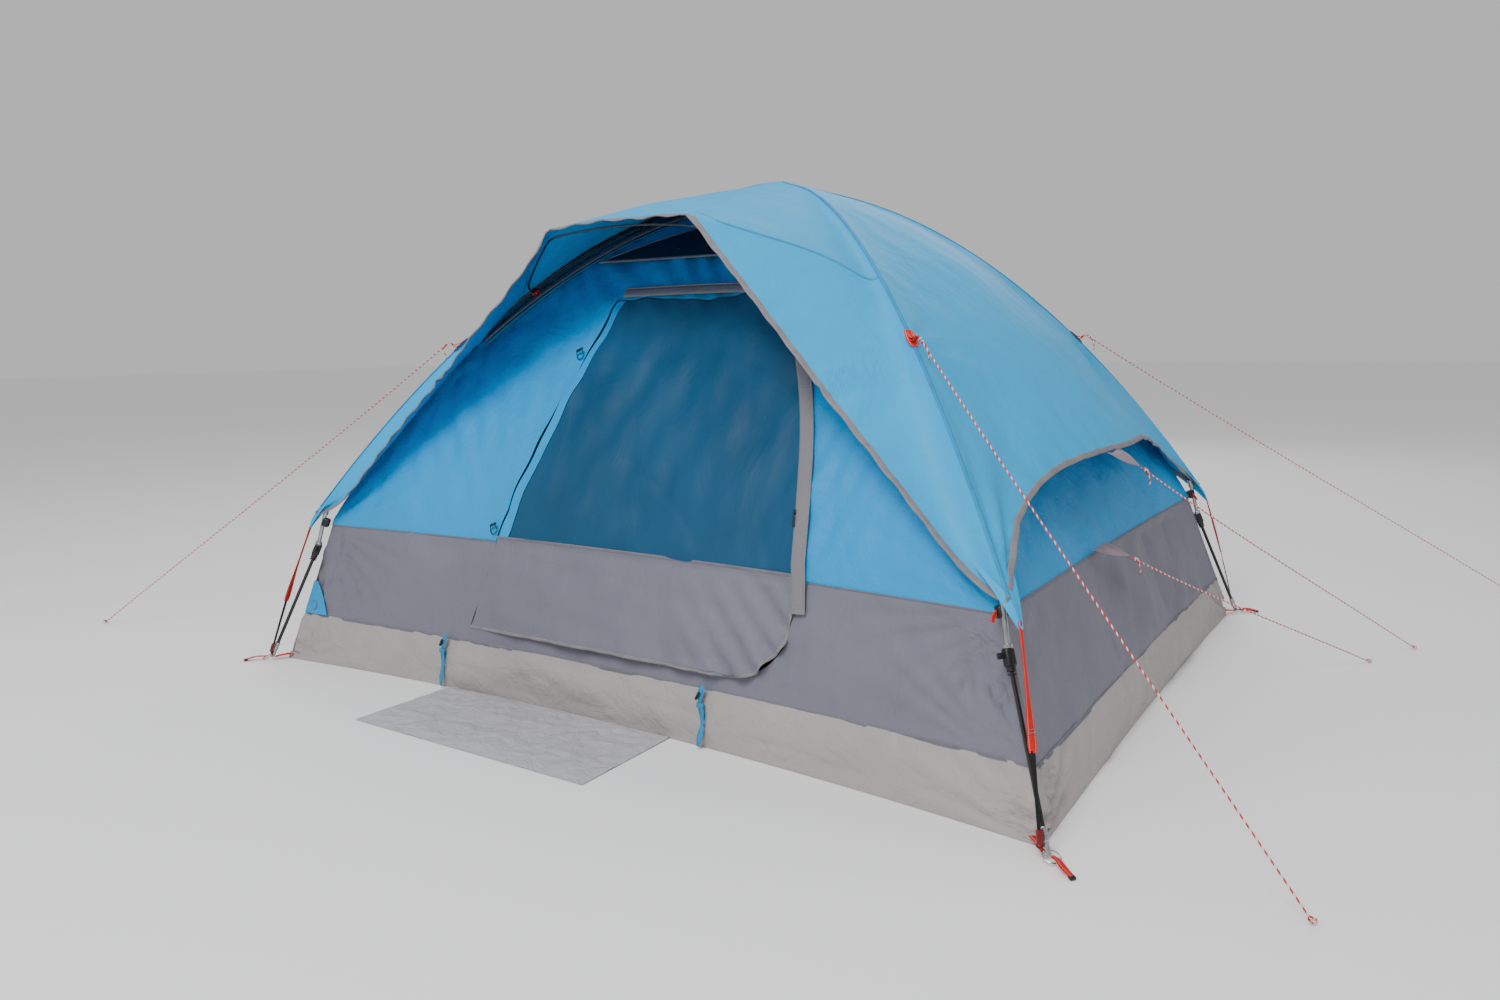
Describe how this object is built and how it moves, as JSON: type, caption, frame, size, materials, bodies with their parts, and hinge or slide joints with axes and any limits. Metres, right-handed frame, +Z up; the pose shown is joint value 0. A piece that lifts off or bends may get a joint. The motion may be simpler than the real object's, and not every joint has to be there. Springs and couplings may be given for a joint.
{
  "type": "pop up tent",
  "caption": "Dome tent with a folding hub frame, outer fly with a front eave, inner walls with a bucket floor, a zip door, an entrance mat, corner straps and guylines.",
  "frame": {"origin": "middle of the bucket floor's underside, on the ground", "axes": "+Z up; the door faces -Y; +X is to the right of someone inside who faces away from the door, so a viewer in front of the door sees +X on the right"},
  "size_m": [4.0423, 3.0533, 1.4005],
  "materials": {
    "cord": "braided polyester cord",
    "door": "dark woven nylon",
    "floor": "coated groundsheet",
    "fly": "coated nylon with a soft sheen",
    "metal": "bright drawn metal",
    "plastic": "black moulded plastic",
    "pole": "satin black glass-fibre rod",
    "strap": "blue woven tape",
    "trim": "grey woven trim",
    "wall": "breathable woven nylon, grey in its lower part",
    "webbing": "red woven webbing"
  },
  "bodies": {
    "fabric": {"brow_rod": "pole", "corner_webbing_back_left": "webbing", "corner_webbing_back_right": "webbing", "corner_webbing_front_left": "webbing", "corner_webbing_front_right": "webbing", "door_zip_cover": "trim", "fly_back": "fly", "fly_front": "fly", "fly_left": "fly", "fly_right": "fly", "fly_strap_back_left": "webbing", "fly_strap_back_right": "webbing", "fly_strap_front_left": "webbing", "fly_strap_front_right": "webbing", "guy_tab_back_left": "webbing", "guy_tab_back_right": "webbing", "guy_tab_front_left": "webbing", "guy_tab_front_right": "webbing", "guy_tab_right_fly": "trim", "guy_tab_right_wall": "trim", "guyline_back_right": "cord", "guyline_front_left": "cord", "guyline_front_right": "cord", "guyline_right_fly": "cord", "guyline_right_wall": "cord", "mat_strap_left": "strap", "mat_strap_right": "strap", "tub": "floor", "wall_back": "wall", "wall_front": "wall", "wall_left": "wall", "wall_right": "wall"},
    "hub": {"hub_base": "plastic", "hub_cap": "plastic", "hub_pivot_ring": "metal"},
    "upper_pole_front_right": {"upper_pole_front_right": "pole", "elbow_link_front_right": "metal", "brow_clip_front_right": "webbing"},
    "lower_leg_front_right": {"lower_leg_front_right": "pole", "foot_ferrule_front_right": "metal"},
    "foot_ring_front_right": {"foot_ring_front_right": "metal"},
    "upper_pole_back_right": {"upper_pole_back_right": "pole", "elbow_link_back_right": "metal"},
    "lower_leg_back_right": {"lower_leg_back_right": "pole", "foot_ferrule_back_right": "metal"},
    "foot_ring_back_right": {"foot_ring_back_right": "metal"},
    "upper_pole_front_left": {"upper_pole_front_left": "pole", "elbow_link_front_left": "metal", "brow_clip_front_left": "webbing"},
    "lower_leg_front_left": {"lower_leg_front_left": "pole", "foot_ferrule_front_left": "metal"},
    "foot_ring_front_left": {"foot_ring_front_left": "metal"},
    "upper_pole_back_left": {"upper_pole_back_left": "pole", "elbow_link_back_left": "metal"},
    "lower_leg_back_left": {"lower_leg_back_left": "pole", "foot_ferrule_back_left": "metal"},
    "foot_ring_back_left": {"foot_ring_back_left": "metal"},
    "door": {"door_panel": "door"},
    "zip_slider": {"zip_slider": "plastic"},
    "mat": {"mat": "floor"}
  },
  "joints": [
    {"name": "hub_drop", "type": "slide", "parent": "fabric", "child": "hub", "axis": [0, 0, 1], "range_m": [-1, 0], "deforming": ["fly_back", "fly_front", "fly_left", "fly_right", "fly_strap_back_left", "fly_strap_back_right", "fly_strap_front_left", "fly_strap_front_right", "guy_tab_back_left", "guy_tab_back_right", "guy_tab_front_left", "guy_tab_front_right", "guy_tab_right_fly", "guy_tab_right_wall", "guyline_back_right", "guyline_front_left", "guyline_front_right", "guyline_right_fly", "guyline_right_wall", "wall_back", "wall_front", "wall_left", "wall_right", "door_zip_cover", "brow_rod"]},
    {"name": "pole_front_right", "type": "hinge", "parent": "hub", "child": "upper_pole_front_right", "pos_m": [0.03417, -0.02928, 1.352], "axis": [0.6508, 0.7593, 0], "range_deg": [-35.72, 0]},
    {"name": "elbow_front_right", "type": "hinge", "parent": "upper_pole_front_right", "child": "lower_leg_front_right", "pos_m": [1.06299, -0.91107, 0.338], "axis": [0.6508, 0.7593, 0], "range_deg": [0, 92.52]},
    {"name": "ring_front_right", "type": "hinge", "parent": "lower_leg_front_right", "child": "foot_ring_front_right", "pos_m": [1.17726, -1.00901, 0.0165], "axis": [0.6508, 0.7593, 0], "range_deg": [-70, 8]},
    {"name": "pole_back_right", "type": "hinge", "parent": "hub", "child": "upper_pole_back_right", "pos_m": [0.03417, 0.02928, 1.352], "axis": [-0.6508, 0.7593, 0], "range_deg": [-35.72, 0]},
    {"name": "elbow_back_right", "type": "hinge", "parent": "upper_pole_back_right", "child": "lower_leg_back_right", "pos_m": [1.06299, 0.91107, 0.338], "axis": [-0.6508, 0.7593, 0], "range_deg": [0, 92.52]},
    {"name": "ring_back_right", "type": "hinge", "parent": "lower_leg_back_right", "child": "foot_ring_back_right", "pos_m": [1.17726, 1.00901, 0.0165], "axis": [-0.6508, 0.7593, 0], "range_deg": [-70, 8]},
    {"name": "pole_front_left", "type": "hinge", "parent": "hub", "child": "upper_pole_front_left", "pos_m": [-0.03417, -0.02928, 1.352], "axis": [0.6508, -0.7593, 0], "range_deg": [-35.72, 0]},
    {"name": "elbow_front_left", "type": "hinge", "parent": "upper_pole_front_left", "child": "lower_leg_front_left", "pos_m": [-1.06299, -0.91107, 0.338], "axis": [0.6508, -0.7593, 0], "range_deg": [0, 92.52]},
    {"name": "ring_front_left", "type": "hinge", "parent": "lower_leg_front_left", "child": "foot_ring_front_left", "pos_m": [-1.17726, -1.00901, 0.0165], "axis": [0.6508, -0.7593, 0], "range_deg": [-70, 8]},
    {"name": "pole_back_left", "type": "hinge", "parent": "hub", "child": "upper_pole_back_left", "pos_m": [-0.03417, 0.02928, 1.352], "axis": [-0.6508, -0.7593, 0], "range_deg": [-35.72, 0]},
    {"name": "elbow_back_left", "type": "hinge", "parent": "upper_pole_back_left", "child": "lower_leg_back_left", "pos_m": [-1.06299, 0.91107, 0.338], "axis": [-0.6508, -0.7593, 0], "range_deg": [0, 92.52]},
    {"name": "ring_back_left", "type": "hinge", "parent": "lower_leg_back_left", "child": "foot_ring_back_left", "pos_m": [-1.17726, 1.00901, 0.0165], "axis": [-0.6508, -0.7593, 0], "range_deg": [-70, 8]},
    {"name": "door_swing", "type": "hinge", "parent": "fabric", "child": "door", "pos_m": [-0.24, -0.51, 1.05], "axis": [-0.2144, -0.4408, -0.8716], "range_deg": [0, 38]},
    {"name": "zip_travel", "type": "slide", "parent": "fabric", "child": "zip_slider", "axis": [-0.1503, 0.442, 0.8844], "range_m": [-0.03, 0.12]},
    {"name": "mat_lift", "type": "hinge", "parent": "fabric", "child": "mat", "pos_m": [-0.1375, -0.918, 0.0005], "axis": [-1, 0, 0], "range_deg": [0, 33]}
  ],
  "couplings": [
    {"joint": "pole_front_right", "follows": "hub_drop", "rad_per_m": 0.62264},
    {"joint": "elbow_front_right", "follows": "hub_drop", "rad_per_m": -1.6139},
    {"joint": "pole_back_right", "follows": "hub_drop", "rad_per_m": 0.62264},
    {"joint": "elbow_back_right", "follows": "hub_drop", "rad_per_m": -1.6139},
    {"joint": "pole_front_left", "follows": "hub_drop", "rad_per_m": 0.62264},
    {"joint": "elbow_front_left", "follows": "hub_drop", "rad_per_m": -1.6139},
    {"joint": "pole_back_left", "follows": "hub_drop", "rad_per_m": 0.62264},
    {"joint": "elbow_back_left", "follows": "hub_drop", "rad_per_m": -1.6139}
  ]
}
